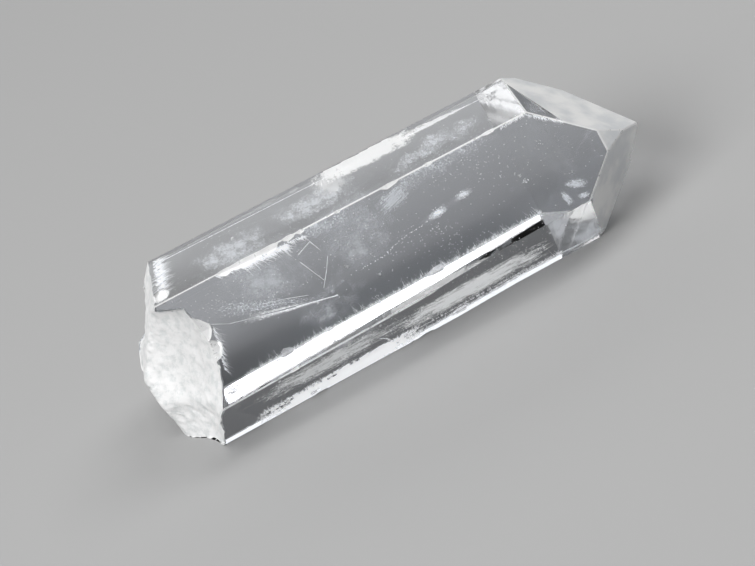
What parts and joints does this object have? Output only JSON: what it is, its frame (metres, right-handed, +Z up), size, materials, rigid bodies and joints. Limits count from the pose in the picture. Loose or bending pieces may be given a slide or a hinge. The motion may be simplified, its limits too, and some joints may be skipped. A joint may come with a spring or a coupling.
{
  "type": "quartz crystal",
  "caption": "Clear quartz point, a natural single crystal: long striated faces, a steep faceted tip, a conchoidal broken base and chipped edges, lying on a long face",
  "frame": {"origin": "on the resting surface, under the middle of the crystal's box", "axes": "+X along the crystal's long axis to its tip, +Y across it, +Z up from the face that it lies on"},
  "size_m": [0.0676, 0.0234, 0.0194],
  "materials": {
    "quartz": "clear, with frosted breaks and veils"
  },
  "bodies": {
    "root": {"crystal": "quartz"}
  },
  "joints": []
}
